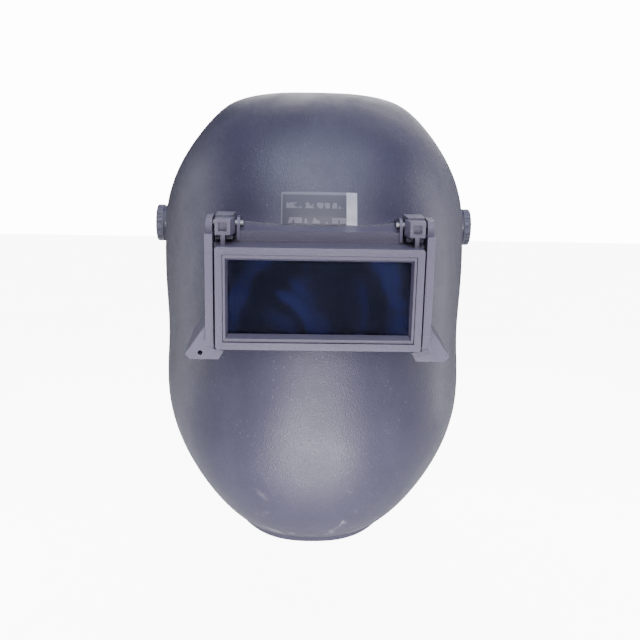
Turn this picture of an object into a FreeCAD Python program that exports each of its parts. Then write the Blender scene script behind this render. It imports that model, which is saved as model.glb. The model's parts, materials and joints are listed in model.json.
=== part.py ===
import FreeCAD, Part
import math
import os
import Sketcher

# Lift-front welding helmet. Frame: +Z up, the wearer looks along -Y, and the
# origin is the middle of the axis on which the shell pivots on its headgear.
# All lengths are in mm and all angles in degrees.

V = FreeCAD.Vector
doc = FreeCAD.newDocument("welding_helmet")
sheet = doc.addObject("Spreadsheet::Sheet", "Sizes")

SIZES = [
    # name, value, what it is
    ("wall", 2.5, "shell wall"),
    ("hem_reach", 5, "hem below the throat edge and behind the crown edge"),
    ("hem_thick", 1.3, "hem, set back under the shell's edge"),
    ("gap", 0.3, "gap between faces that follow each other"),
    ("fit", 0.06, "radial clearance of a pin or bolt"),
    ("win_y", -171.7, "front face of the lift frame, from the pivot axis"),
    ("win_z", -34.7, "window centre, below the pivot axis"),
    ("win_tilt", 8, "window leans forward at the top"),
    ("base_wide", 126, "window base frame width"),
    ("base_top", 35.2, "window base frame, above the window centre"),
    ("base_bottom", 29.5, "window base frame, below the window centre"),
    ("base_front", 4, "base frame front edge behind the lift frame's face"),
    ("base_deep", 56, "base frame rear edge behind the lift frame's face"),
    ("base_face", 16, "base frame plate, behind the lift frame's face"),
    ("base_side", 4.4, "base frame side wall"),
    ("base_sill", 3, "base frame top and bottom wall"),
    ("ear_front", 7, "front of the ears, behind the lift frame's face"),
    ("lift_wide", 114.4, "lift frame width"),
    ("lift_tall", 58, "lift frame height"),
    ("lift_deep", 15, "lift frame depth"),
    ("lift_rim", 4, "lift frame front wall"),
    ("bezel_wide", 106.6, "front opening of the lift frame"),
    ("bezel_tall", 49.8, "front opening of the lift frame"),
    ("glass_wide", 101, "clear view width"),
    ("glass_tall", 42, "clear view height"),
    ("plate_wide", 108, "standard filter plate, 4.25 in"),
    ("plate_tall", 51, "standard filter plate, 2 in"),
    ("filter_thick", 3, "filter plate"),
    ("cover_thick", 1, "cover plate"),
    ("pin_up", 39, "hinge pin, above the window centre"),
    ("pin_back", 18, "hinge pin, behind the lift frame's face"),
    ("pin_dia", 4, "hinge pin"),
    ("bolt_dia", 8, "pivot bolt"),
    ("knob_dia", 26, "tension knob"),
    ("knob_out", 112.3, "outer face of a tension knob, from the middle"),
    ("boss_in", 95, "inner face of the shell's pivot boss"),
    ("boss_out", 107.1, "outer face of the shell's pivot boss"),
    ("head_half", 80, "headband, half its width"),
    ("head_back", 108.4, "rear strap, behind the pivot axis"),
    ("band_thick", 2.2, "headband and straps"),
    ("band_wide", 22, "headband height"),
    ("band_low", -26, "lower edge of the headband"),
    ("crown_high", 83, "top of the crown straps"),
    ("crown_wide", 18, "crown strap width"),
    ("crown_y", 10, "crown strap, behind the pivot axis"),
    ("ratchet_z", -15, "ratchet knob axis"),
    ("ratchet_dia", 34, "ratchet knob"),
    ("pinion_pitch", 4, "pinion pitch radius"),
]
for row, (name, value, note) in enumerate(SIZES, 1):
    sheet.set(f"A{row}", name)
    sheet.set(f"B{row}", str(value))
    sheet.set(f"C{row}", note)
    sheet.setAlias(f"B{row}", name)
doc.recompute()


class Dim:
    """A length that knows both its value and its spreadsheet expression."""

    def __init__(self, value, text):
        self.value = float(value)
        self.text = text

    @staticmethod
    def of(other):
        return other if isinstance(other, Dim) else Dim(other, f"({other})")

    def _join(self, other, sign, value):
        return Dim(value, f"({self.text} {sign} {Dim.of(other).text})")

    def __add__(self, other):
        return self._join(other, "+", self.value + Dim.of(other).value)

    def __sub__(self, other):
        return self._join(other, "-", self.value - Dim.of(other).value)

    def __mul__(self, other):
        return self._join(other, "*", self.value * Dim.of(other).value)

    def __truediv__(self, other):
        return self._join(other, "/", self.value / Dim.of(other).value)

    def __radd__(self, other):
        return Dim.of(other) + self

    def __rsub__(self, other):
        return Dim.of(other) - self

    def __rmul__(self, other):
        return Dim.of(other) * self

    def __neg__(self):
        return Dim.of(0) - self


S = {name: Dim(value, f"Sizes.{name}") for name, value, note in SIZES}


def num(x):
    return Dim.of(x).value


# ---------------------------------------------------------------- helpers

def bind(obj, prop, dim):
    obj.setExpression(prop, Dim.of(dim).text)


def new_body(label, placement=None):
    body = doc.addObject("PartDesign::Body", label)
    body.Label = label
    if placement:
        body.Placement = placement
    return body


def new_sketch(body, lift=0, role="XY_Plane"):
    """A sketch on one of the body's own origin planes, lifted off it."""
    plane = next(f for f in body.Origin.OriginFeatures if f.Role == role)
    sketch = body.newObject("Sketcher::SketchObject", body.Name + "_sketch")
    sketch.AttachmentSupport = (plane, "")
    sketch.MapMode = "FlatFace"
    bind(sketch, "AttachmentOffset.Base.z", lift)
    return sketch


def hold(sketch, kind, refs, dim):
    """Add a dimension and tie it to the spreadsheet."""
    index = sketch.addConstraint(Sketcher.Constraint(kind, *refs, abs(num(dim))))
    text = Dim.of(dim if num(dim) >= 0 else -Dim.of(dim)).text
    sketch.setExpression(f"Constraints[{index}]", text)


def locate(sketch, geo, point, x, y):
    """Fix a point at x, y from the sketch origin."""
    for kind, dim in (("DistanceX", x), ("DistanceY", y)):
        if abs(num(dim)) < 1e-9:
            other = "PointOnObject"
            axis = -2 if kind == "DistanceX" else -1
            sketch.addConstraint(Sketcher.Constraint(other, geo, point, axis))
        elif num(dim) > 0:
            hold(sketch, kind, (-1, 1, geo, point), dim)
        else:
            hold(sketch, kind, (geo, point, -1, 1), dim)


def circle(sketch, x, y, radius):
    geo = sketch.addGeometry(Part.Circle(V(num(x), num(y), 0), V(0, 0, 1), num(radius)))
    hold(sketch, "Radius", (geo,), radius)
    locate(sketch, geo, 3, x, y)


def rectangle(sketch, x0, y0, x1, y1):
    """A rectangle from its lower left to its upper right corner."""
    corners = [(x0, y0), (x1, y0), (x1, y1), (x0, y1)]
    points = [V(num(x), num(y), 0) for x, y in corners]
    lines = [Part.LineSegment(points[i], points[(i + 1) % 4]) for i in range(4)]
    first = sketch.addGeometry(lines)[0]
    for i in range(4):
        sketch.addConstraint(Sketcher.Constraint(
            "Coincident", first + i, 2, first + (i + 1) % 4, 1))
        kind = "Horizontal" if i % 2 == 0 else "Vertical"
        sketch.addConstraint(Sketcher.Constraint(kind, first + i))
    locate(sketch, first, 1, x0, y0)
    locate(sketch, first + 2, 1, x1, y1)


def centred(sketch, wide, tall):
    rectangle(sketch, -wide / 2, -tall / 2, wide / 2, tall / 2)


def outline(sketch, curves):
    """Free geometry, with its ends joined in order."""
    ids = sketch.addGeometry(curves)
    sketch.addConstraint([Sketcher.Constraint("Block", i) for i in ids])


def polygon(points):
    """Line segments round a list of (x, y) pairs."""
    corners = [V(num(x), num(y), 0) for x, y in points]
    return [Part.LineSegment(a, b) for a, b in zip(corners, corners[1:] + corners[:1])]


def solid_step(body, kind, sketch, length):
    feature = body.newObject(kind, body.Name + "_step")
    feature.Profile = sketch
    bind(feature, "Length", length)
    return feature


def pad(body, lift, length, draw, *args, role="XY_Plane"):
    sketch = new_sketch(body, lift, role)
    draw(sketch, *args)
    return solid_step(body, "PartDesign::Pad", sketch, length)


def pocket(body, lift, length, draw, *args, role="XY_Plane"):
    """Cut from the lifted plane downwards, against the plane's normal."""
    sketch = new_sketch(body, lift, role)
    draw(sketch, *args)
    doc.recompute()
    before = body.Shape.Volume
    feature = solid_step(body, "PartDesign::Pocket", sketch, length)
    doc.recompute()
    if body.Shape.Volume > before - 1e-6:
        raise RuntimeError(body.Label + ": a pocket cut nothing")
    return feature


def around(body, feature, count):
    """Repeat a feature round the body's own Z axis."""
    axis = next(f for f in body.Origin.OriginFeatures if f.Role == "Z_Axis")
    pattern = body.newObject("PartDesign::PolarPattern", body.Name + "_pattern")
    pattern.Originals = [feature]
    pattern.Axis = (axis, [""])
    pattern.Angle = 360
    pattern.Occurrences = count
    body.Tip = pattern
    return pattern


def turned(body, radius, low, high, corner):
    """A disc turned about the body's Z axis, its upper edge rounded."""
    sketch = new_sketch(body, 0, "XZ_Plane")
    radius, low, high = num(radius), num(low), num(high)
    bend = V(radius - corner, high - corner, 0)
    slant = corner * math.sqrt(0.5)
    outline(sketch, [
        Part.LineSegment(V(0, low, 0), V(radius, low, 0)),
        Part.LineSegment(V(radius, low, 0), V(radius, high - corner, 0)),
        Part.Arc(V(radius, high - corner, 0), bend + V(slant, slant, 0), V(radius - corner, high, 0)),
        Part.LineSegment(V(radius - corner, high, 0), V(0, high, 0)),
        Part.LineSegment(V(0, high, 0), V(0, low, 0)),
    ])
    feature = body.newObject("PartDesign::Revolution", body.Name + "_turned")
    feature.Profile = sketch
    feature.ReferenceAxis = (sketch, ["V_Axis"])
    feature.Angle = 360
    return feature


def mirrored(source, label):
    mirror = doc.addObject("Part::Mirroring", label)
    mirror.Label = label
    mirror.Source = source
    mirror.Normal = V(1, 0, 0)
    return mirror


def coded(label, shape, placement=None):
    feature = doc.addObject("Part::Feature", label)
    feature.Label = label
    feature.Shape = shape
    if placement:
        feature.Placement = placement
    return feature


def block(x0, y0, z0, x1, y1, z1):
    size = [num(b) - num(a) for a, b in ((x0, x1), (y0, y1), (z0, z1))]
    return Part.makeBox(*size, V(num(x0), num(y0), num(z0)))


def rod(radius, start, axis, length):
    return Part.makeCylinder(num(radius), num(length), V(*start), V(*axis))


# The window parts are drawn in the window's own frame: X to the wearer's
# left, Y up the window and Z out of its face.
WINDOW = FreeCAD.Placement(
    V(0, num(S["win_y"]), num(S["win_z"])),
    FreeCAD.Rotation(V(1, 0, 0), 90 + num(S["win_tilt"])))


def side_frame(out):
    """Frame of the right-hand side parts: X back, Y up and Z outwards."""
    return FreeCAD.Placement(V(num(out), 0, 0), FreeCAD.Rotation(V(0, 1, 0), V(0, 0, 1), V(1, 0, 0)))


PARTS = []

# ---------------------------------------------------------------- the shell
# The shell is drawn like a boat's lines plan. Each station is a flat section
# through one axis behind the head, so the sections fan out from the throat
# to the crown, and each is a half superellipse.

FAN_Y = 190.0
FAN_Z = -58.0
STATIONS = [
    # front y, front z, half width, roundness, rear edge y
    (-20, 90.8, 69.4, 2.88, 12),
    (-60, 84.8, 85.0, 2.66, 22),
    (-104, 60.0, 103.4, 2.44, 30),
    (-136, 20.0, 106.8, 2.44, 32),
    (-150, -28.0, 105.6, 2.36, 26),
    (-150, -86.0, 102.6, 2.35, 12),
    (-140, -136.0, 100.7, 2.59, 0),
    (-116, -180.5, 85.3, 2.38, -12),
    (-78, -206.0, 59.5, 2.39, -23),
]
AROUND = 40
ALONG = 24


def station_points(front_y, front_z, half_width, roundness, rear_y):
    reach = math.hypot(front_y - FAN_Y, front_z - FAN_Z)
    cos_fan = (FAN_Y - front_y) / reach
    sin_fan = (front_z - FAN_Z) / reach
    rear = (FAN_Y - rear_y) / cos_fan
    points = []
    for i in range(AROUND + 1):
        turn = math.pi * i / AROUND
        side = math.copysign(abs(math.cos(turn)) ** (2 / roundness), math.cos(turn))
        depth = abs(math.sin(turn)) ** (2 / roundness)
        if i in (0, AROUND):
            depth = 0.0
        r = rear + (reach - rear) * depth
        points.append(V(half_width * side, FAN_Y - r * cos_fan, FAN_Z + r * sin_fan))
    return points


def lines_plan():
    """Evenly spaced rows of points, from the crown to the throat."""
    stations = [station_points(*row) for row in STATIONS]
    steps = [0.0]
    for a, b in zip(STATIONS, STATIONS[1:]):
        steps.append(steps[-1] + math.hypot(a[0] - b[0], a[1] - b[1]))
    columns = []
    for column in zip(*stations):
        curve = Part.BSplineCurve()
        curve.interpolate(list(column), Parameters=steps)
        columns.append([curve.value(steps[-1] * j / ALONG) for j in range(ALONG + 1)])
    return [list(row) for row in zip(*columns)]


def outward(grid, j, i):
    """Unit normal of the grid at one point, away from the head."""
    down = grid[min(j + 1, ALONG)][i] - grid[max(j - 1, 0)][i]
    across = grid[j][min(i + 1, AROUND)] - grid[j][max(i - 1, 0)]
    normal = down.cross(across)
    normal.normalize()
    if normal.dot(grid[j][i] - V(0, 60, -58)) < 0:
        normal = -normal
    return normal


def offset_grid(grid, distance):
    return [[point + outward(grid, j, i) * distance for i, point in enumerate(row)]
            for j, row in enumerate(grid)]


def grid_face(grid):
    if len(grid) == 2:
        edges = []
        for row in grid:
            curve = Part.BSplineCurve()
            curve.interpolate(row)
            edges.append(curve.toShape())
        return Part.makeRuledSurface(*edges)
    surface = Part.BSplineSurface()
    surface.interpolate(grid)
    return surface.toShape()


def skin_solid(outer_grid, inner_grid):
    """The solid between two faces drawn through matching grids."""
    outer = grid_face(outer_grid)
    inner = grid_face(inner_grid)
    walls = [Part.makeRuledSurface(a, b) for a, b in zip(outer.Edges, inner.Edges)]
    skin = Part.makeCompound([outer, inner] + walls)
    skin.sewShape()
    solid = Part.makeSolid(skin.Shells[0])
    if solid.Volume < 0:
        solid.reverse()
    return solid


plan = lines_plan()
inner_plan = offset_grid(plan, -num(S["wall"]))
wall_solid = skin_solid(plan, inner_plan)

# Everything inside the outer skin plus the gap: what stands on the shell is
# trimmed with it.
core = skin_solid(offset_grid(plan, num(S["gap"])),
                  [[V(p.x * 0.5, p.y * 0.5 + 10, p.z) for p in row] for row in plan])


def hem(row, drop, lean):
    """A thin hem that carries on past one edge of the shell, set back under it.

    It is as long as hem_reach in the middle and fades out towards the sides.
    """
    root_in = 1.1
    reach = num(S["hem_reach"])
    thick = num(S["hem_thick"])
    half_width = max(point.x for point in plan[row])
    grids = [[], [], [], []]
    for i in range(3, AROUND - 2):
        point = plan[row][i]
        normal = outward(plan, row, i)
        along = plan[row][i] - plan[row + (1 if row == 0 else -1)][i]
        along.normalize()
        path = along * (1 - lean) + drop * lean
        path.normalize()
        fade = 1 - (point.x / (half_width * 1.02)) ** 4
        start = point - normal * root_in - along * 3
        end = point - normal * root_in + path * (0.4 + reach * fade)
        for grid, at in zip(grids, (start, end, start - normal * thick, end - normal * thick)):
            grid.append(at)
    return skin_solid(grids[0:2], grids[2:4])


def pivot_boss(side):
    inner = rod(14, (side * num(S["boss_in"]), 0, 0), (side, 0, 0), 9)
    outer = rod(12.4, (side * 102, 0, 0), (side, 0, 0), num(S["boss_out"]) - 102)
    return inner.fuse(outer)


def pivot_hole(side):
    radius = S["bolt_dia"] / 2 + S["fit"]
    return rod(radius, (side * 90, 0, 0), (side, 0, 0), 25)


def in_window(shape):
    moved = shape.copy()
    moved.Placement = WINDOW
    return moved


EAR_HOLE_X = 66.4
EAR_HOLE_Y = -33.2
STOP_Y = -26.0

throat_hem = hem(ALONG, V(0, 0.10, -1), 0.75)
crown_hem = hem(0, V(0, 1, 0.12), 0.6)
shell = wall_solid.fuse([throat_hem, crown_hem, pivot_boss(1), pivot_boss(-1)])
opening = block(-S["base_wide"] / 2 - S["gap"] - 0.1, -S["base_bottom"] - S["gap"] - 0.1, -90,
                S["base_wide"] / 2 + S["gap"] + 0.1, S["base_top"] + S["gap"] + 0.1, 20)
cuts = [in_window(opening), pivot_hole(1), pivot_hole(-1)]
for x in (-EAR_HOLE_X, EAR_HOLE_X):
    cuts.append(in_window(rod(1.75, (x, EAR_HOLE_Y, -90), (0, 0, 1), 90)))
for x in (-1, 1):
    cuts.append(rod(2.05, (x * 97, STOP_Y, 0), (x, 0, 0), 7.2))
shell = shell.cut(cuts)
PARTS.append(coded("helmet_shell", shell.removeSplitter()))

# Stop pegs pressed into the inside of the shell, one on each side.
pegs = []
for x in (-1, 1):
    pegs.append(rod(2.0, (x * 95.8, STOP_Y, 0), (x, 0, 0), 8.0))
PARTS.append(coded("stop_pegs", Part.makeCompound(pegs)))

# The foil label lies on the brow, a hair above the skin.
foil = skin_solid(offset_grid(plan, 0.30), offset_grid(plan, 0.05))
label_area = block(-22, -10, -60, 22, 10, 60)
label_area.Placement = FreeCAD.Placement(
    V(0, -133, 13.6), FreeCAD.Rotation(V(1, 0, 0), 90 - 14))
PARTS.append(coded("rating_label", foil.common(label_area)))

# ---------------------------------------------------------------- base frame

HALF = S["base_wide"] / 2
TOP = S["base_top"]
LOW = -S["base_bottom"]
FACE = -S["base_face"]
IN_X = HALF - S["base_side"]
IN_TOP = TOP - S["base_sill"]
IN_LOW = LOW + S["base_sill"]
VIEW = (100, 44)
HINGE_IN = 43.9
HINGE_OUT = 58.8
base_box = new_body("base_box")
pad(base_box, -S["base_deep"], S["base_deep"] + FACE, rectangle, -HALF, LOW, HALF, TOP)
pocket(base_box, FACE - 6, S["base_deep"], rectangle, -IN_X, IN_LOW, IN_X, IN_TOP)
pocket(base_box, FACE - 2, 4.1, centred, S["plate_wide"] + 1.2, S["plate_tall"] + 1.2)
pocket(base_box, FACE, 2.1, centred, *VIEW)
for left, right in ((-HALF, -IN_X), (IN_X, HALF)):
    pad(base_box, FACE - 1, 1 - FACE - S["base_front"], rectangle, left, -28, right, TOP)
# The blocks under the hinges run on rearwards to close the opening's top corners.
for left, right in ((-HALF, -HINGE_IN), (HINGE_IN, HALF)):
    pad(base_box, -S["base_deep"] - 12, S["base_deep"] + 12 + FACE, rectangle, left, 27.5, right, TOP)
doc.recompute()

EAR = [(56.0, -37.0), (72.2, -37.0), (75.0, -34.0), (63.0, -16.7), (59.0, -16.7), (59.0, -30.8),
       (53.1, -31.8)]
GUSSET = [(58.6, -37.0), (72.2, -37.0), (75.0, -34.0), (63.0, -16.7), (60.0, -16.7), (58.6, -29.0)]
GUSSET_HOLLOW = [(60.8, -34.8), (71.2, -34.8), (72.2, -33.6), (63.4, -21.0), (63.4, -29.9),
                 (60.8, -29.9)]
EAR_PLATE = 3.0


def prism(points, z0, z1):
    face = Part.Face(Part.makePolygon([V(x, y, z0) for x, y in points + points[:1]]))
    return face.extrude(V(0, 0, z1 - z0))


def ear():
    """A lower ear: its plate, the hollow gusset behind it and the screw boss."""
    front = -num(S["ear_front"])
    plate = prism(EAR, front - EAR_PLATE, front)
    gusset = prism(GUSSET, -75, front - 1).cut(prism(GUSSET_HOLLOW, -76, front - EAR_PLATE))
    boss = rod(3.1, (EAR_HOLE_X, EAR_HOLE_Y, -75), (0, 0, 1), 75 + front - 1)
    return plate.fuse([gusset, boss])


def cheek(x0, x1, high, front):
    """One plate of the clevis that carries a hinge pin; its top falls away to the rear."""
    side_view = [(front, 30.5), (front, high - 3), (front - 3, high), (-23, high), (-64, 33), (-64, 30.5)]
    corners = [V(x0, y, z) for z, y in side_view]
    plate = Part.Face(Part.makePolygon(corners + corners[:1])).extrude(V(x1 - x0, 0, 0))
    centre = (x0 - 5, num(S["pin_up"]), -num(S["pin_back"]))
    return plate.cut(rod(S["pin_dia"] / 2 + S["fit"], centre, (1, 0, 0), 30))


core_local = core.copy()
core_local.Placement = WINDOW.inverse()
right_side = [piece.cut(core_local) for piece in (ear(), cheek(59.0, 62.6, 43, -8),
                                                  cheek(44.2, 45.8, 42.5, -13.5))]
left_side = [piece.mirror(V(0, 0, 0), V(1, 0, 0)) for piece in right_side]
base = base_box.Shape.fuse(right_side + left_side)
bores = []
for side, depth in ((-1, 90), (1, 80)):
    bores.append(rod(1.4, (side * EAR_HOLE_X, EAR_HOLE_Y, -90), (0, 0, 1), depth))
for start in (-HINGE_OUT + 0.2, HINGE_IN + 2.1):
    room = (start, num(S["pin_up"]), -num(S["pin_back"]))
    bores.append(rod(10.9, room, (1, 0, 0), HINGE_OUT - HINGE_IN - 2.3))
PARTS.append(coded("window_base_frame", base.cut(bores).removeSplitter(), WINDOW))

# Screws put in from inside the shell, into the bosses of the ears.


def shell_depth(x, y):
    """Where a line along the window's Z first meets the shell's inside."""
    line = in_window(Part.makeLine(V(x, y, -95), V(x, y, -5)))
    hits = Part.makeCompound([grid_face(inner_plan)]).distToShape(line)[1]
    return WINDOW.inverse().multVec(hits[0][0]).z


screws = []
for side in (-1, 1):
    seat = shell_depth(side * EAR_HOLE_X, EAR_HOLE_Y) - 6.4
    head = rod(2.6, (side * EAR_HOLE_X, EAR_HOLE_Y, seat - 2.2), (0, 0, 1), 2.2)
    shank = rod(1.3, (side * EAR_HOLE_X, EAR_HOLE_Y, seat), (0, 0, 1), 16)
    screws.append(head.fuse(shank).removeSplitter())
PARTS.append(coded("frame_screws", Part.makeCompound(screws), WINDOW))

# ---------------------------------------------------------------- lift front

lift = new_body("lift_frame", WINDOW)
lift_block = pad(lift, -S["lift_deep"], S["lift_deep"], centred, S["lift_wide"], S["lift_tall"])
doc.recompute()
corner_edges = [f"Edge{i}" for i, edge in enumerate(lift.Shape.Edges, 1)
                if abs(edge.Length - num(S["lift_deep"])) < 1e-6]
rounded = lift.newObject("PartDesign::Fillet", "lift_corners")
rounded.Base = (lift_block, corner_edges)
rounded.Radius = 1.6
lift.Tip = rounded


def hinge_block(side, top, low, front, rear):
    """A block that widens inwards towards its rear; faces given from the front."""
    sketch = new_sketch(lift, -top, "XZ_Plane")
    taper = [(57.3, front), (49 + (front + 5) / 8, front), (46.6, rear), (57.3, rear)]
    outline(sketch, polygon([(side * x, z) for x, z in taper]))
    return solid_step(lift, "PartDesign::Pad", sketch, top - low)


for side in (-1, 1):
    hinge_block(side, S["pin_up"] + 4.4, S["pin_up"] - 4.4, -5, -12.5)
    hinge_block(side, S["pin_up"] + 5.4, S["pin_up"] - 8.0, -12, -24.2)
for left, right in ((51.8, 54.2), (-54.2, -51.8)):
    pad(lift, -14, 9, rectangle, left, S["lift_tall"] / 2 - 1, right, S["pin_up"] - 4)
for left, right in ((50.8, 55.4), (-55.4, -50.8)):
    pocket(lift, -5, 2.0, rectangle, left, S["pin_up"] - 2.3, right, S["pin_up"] + 2.3)
pocket(lift, -S["lift_rim"], 20, centred, S["plate_wide"] + 1, S["plate_tall"] + 1)
pocket(lift, 0, S["lift_rim"] + 0.1, centred, S["bezel_wide"], S["bezel_tall"])
for left, right in ((52, 55), (-55, -52)):
    pad(lift, -14.6, 1.2, rectangle, left, -9, right, 9)
doc.recompute()
pin_sketch = new_sketch(lift, -70, "YZ_Plane")
circle(pin_sketch, S["pin_up"], -S["pin_back"], S["pin_dia"] / 2 + S["fit"])
pin_bore = solid_step(lift, "PartDesign::Pocket", pin_sketch, 140)
pin_bore.Reversed = True
PARTS.append(lift)


def plate_body(label, front_at, thick, wide, tall, hole=None):
    """A flat plate or ring behind the window, front face at front_at."""
    body = new_body(label, WINDOW)

    def draw(sketch):
        centred(sketch, wide, tall)
        if hole:
            centred(sketch, *hole)

    pad(body, front_at - thick, Dim.of(thick), draw)
    PARTS.append(body)
    return body


# The bezel drops into the lift frame from behind and stands in its opening.
bezel = new_body("plate_bezel", WINDOW)
bezel_back = -S["lift_rim"] - 1.0
pad(bezel, bezel_back, 0.9, centred, S["plate_wide"] + 0.6, S["plate_tall"] + 0.6)
pad(bezel, bezel_back, S["lift_rim"] + 0.2, centred, S["bezel_wide"] - 0.6, S["bezel_tall"] - 0.6)
bezel_front = new_sketch(bezel, -0.79)
centred(bezel_front, S["glass_wide"] + 2.4, S["glass_tall"] + 3.6)
bezel_rear = new_sketch(bezel, bezel_back - 0.01)
centred(bezel_rear, S["glass_wide"], S["glass_tall"])
slope = bezel.newObject("PartDesign::SubtractiveLoft", "bezel_slope")
slope.Profile = bezel_front
slope.Sections = [bezel_rear]
slope.Ruled = True
PARTS.append(bezel)

behind_rim = bezel_back - 0.1
plate_body("cover_plate", behind_rim, S["cover_thick"], S["plate_wide"], S["plate_tall"])
behind_cover = behind_rim - S["cover_thick"] - 0.1
plate_body("filter_plate", behind_cover, S["filter_thick"], S["plate_wide"], S["plate_tall"])
behind_filter = behind_cover - S["filter_thick"] - 0.1
plate_body("filter_gasket", behind_filter, 1.6, S["plate_wide"], S["plate_tall"],
           (99, 42))
plate_body("filter_retainer", behind_filter - 1.7, 1.0, S["plate_wide"] + 0.4, S["plate_tall"] + 0.4,
           (100, 43))
plate_body("safety_plate", FACE - 2.1, 1.5, S["plate_wide"], S["plate_tall"])
plate_body("safety_plate_retainer", FACE - 3.8, 1.8, S["plate_wide"] + 0.6,
           S["plate_tall"] + 0.6, (100, 44))

pin_frame = FreeCAD.Placement(
    WINDOW.multVec(V(42.4, num(S["pin_up"]), -num(S["pin_back"]))),
    WINDOW.Rotation.multiply(FreeCAD.Rotation(V(0, 1, 0), 90)))
hinge_pin = new_body("hinge_pin_right", pin_frame)
pad(hinge_pin, 0, 20, circle, 0, 0, S["pin_dia"] / 2)
PARTS += [hinge_pin, mirrored(hinge_pin, "hinge_pin_left")]

# ---------------------------------------------------------------- pivots

ARM_X = 88.0
ARM_Y = 30.0
ARM_Z = -15.0


def link(sketch, x0, y0, r0, x1, y1, r1):
    """A plate outline round two circles, joined by their outer tangents."""
    span = math.hypot(x1 - x0, y1 - y0)
    lean = math.atan2(y1 - y0, x1 - x0)
    open_angle = math.acos((r0 - r1) / span)
    a, b = lean + open_angle, lean - open_angle
    ends = [(x0 + r0 * math.cos(t), y0 + r0 * math.sin(t)) for t in (a, b)]
    tips = [(x1 + r1 * math.cos(t), y1 + r1 * math.sin(t)) for t in (a, b)]
    full = 2 * math.pi
    big = Part.ArcOfCircle(Part.Circle(V(x0, y0, 0), V(0, 0, 1), r0), a, b + full)
    small = Part.ArcOfCircle(Part.Circle(V(x1, y1, 0), V(0, 0, 1), r1), b, a)
    sides = [Part.LineSegment(V(*ends[k], 0), V(*tips[k], 0)) for k in (0, 1)]
    outline(sketch, [big, small] + sides)


arm = new_body("side_arm_right", side_frame(0))
pad(arm, ARM_X, 3, link, 0, 0, 13, ARM_Y, ARM_Z, 8)
pad(arm, S["head_half"] + 1.5, ARM_X - S["head_half"] - 1.0, circle, ARM_Y, ARM_Z, 6)
pocket(arm, 93, 9, circle, 0, 0, S["bolt_dia"] / 2 + S["fit"])
pocket(arm, 93, 14, circle, ARM_Y, ARM_Z, 2.1)
for turn in (-20, 0, 20):
    angle = math.radians(turn)
    pocket(arm, 93, 9, circle, 9.5 * math.cos(angle), 9.5 * math.sin(angle), 1.1)
PARTS += [arm, mirrored(arm, "side_arm_left")]

bolt = new_body("pivot_bolt_right", side_frame(0))
pad(bolt, ARM_X - 2.6, 2.4, circle, 0, 0, 6.5)
pad(bolt, ARM_X - 0.4, S["knob_out"] - 1.1 - ARM_X + 0.4, circle, 0, 0, S["bolt_dia"] / 2)
PARTS += [bolt, mirrored(bolt, "pivot_bolt_left")]

stop = new_body("tilt_stop_plate_right", side_frame(0))
pad(stop, 91.3, 1.4, link, 0, 0, 12.5, STOP_Y, -4.5, 4.2)
pad(stop, 91.3, 6.7, rectangle, -30, -5.4, -22, -2.3)
pad(stop, 89.0, 3, circle, 9.5, 0, 1.0)
pocket(stop, 95, 5, circle, 0, 0, S["bolt_dia"] / 2 + S["fit"])
PARTS += [stop, mirrored(stop, "tilt_stop_plate_left")]


def washer(label, start, thick, radius):
    body = new_body(label + "_right", side_frame(0))

    def draw(sketch):
        circle(sketch, 0, 0, radius)
        circle(sketch, 0, 0, S["bolt_dia"] / 2 + S["fit"])

    pad(body, start, thick, draw)
    PARTS.extend([body, mirrored(body, label + "_left")])


washer("inner_friction_washer", 92.9, S["boss_in"] - 0.2 - 92.9, 12)
washer("outer_friction_washer", S["boss_out"] + 0.1, 0.7, 11)

knob = new_body("tension_knob_right", side_frame(0))
knob_base = S["boss_out"] + 0.15
knob_tall = S["knob_out"] - knob_base
turned(knob, S["knob_dia"] / 2, knob_base, S["knob_out"], 1.4)
knob_flute = new_sketch(knob, S["knob_out"] + 0.1)
circle(knob_flute, S["knob_dia"] / 2 + 0.9, 0, 1.9)
cut_flute = solid_step(knob, "PartDesign::Pocket", knob_flute, knob_tall - 0.8)
around(knob, cut_flute, 14)
pocket(knob, knob_base + 0.8, 2, circle, 0, 0, 11.3)
pocket(knob, S["knob_out"] - 0.9, 6, circle, 0, 0, 6.1)
PARTS += [knob, mirrored(knob, "tension_knob_left")]

nut = new_body("knob_insert_right", side_frame(0))


def ring(sketch, outer, inner):
    circle(sketch, 0, 0, outer)
    circle(sketch, 0, 0, inner)


pad(nut, knob_base + 0.9, S["knob_out"] - 1.0 - knob_base - 0.9, ring, 6.0, S["bolt_dia"] / 2 + S["fit"])
PARTS += [nut, mirrored(nut, "knob_insert_left")]

# ---------------------------------------------------------------- headgear

BAND_MID = S["head_half"]
SIDE_END = 49.0
STRAP_FRONT = 38.0
FRONT_ARC_Y = -10.0


def arc_point(cx, cy, r, degrees):
    angle = math.radians(degrees)
    return V(cx + r * math.cos(angle), cy + r * math.sin(angle), 0)


def arc(cx, cy, r, start, end):
    middle = (start + end) / 2
    return Part.Arc(*[arc_point(cx, cy, r, d) for d in (start, middle, end)])


def front_band(sketch, mid, thick):
    """A U round the brow, open at the back."""
    half = num(thick) / 2
    inner = num(mid) - half
    outer = num(mid) + half
    corners = [V(x, y, 0) for x, y in ((-outer, SIDE_END), (-inner, SIDE_END), (inner, SIDE_END),
                                       (outer, SIDE_END))]
    outline(sketch, [
        arc(0, FRONT_ARC_Y, outer, 180, 360),
        Part.LineSegment(V(outer, FRONT_ARC_Y, 0), corners[3]),
        Part.LineSegment(corners[3], corners[2]),
        Part.LineSegment(corners[2], V(inner, FRONT_ARC_Y, 0)),
        arc(0, FRONT_ARC_Y, inner, 360, 180),
        Part.LineSegment(V(-inner, FRONT_ARC_Y, 0), corners[1]),
        Part.LineSegment(corners[1], corners[0]),
        Part.LineSegment(corners[0], V(-outer, FRONT_ARC_Y, 0)),
    ])


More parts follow.
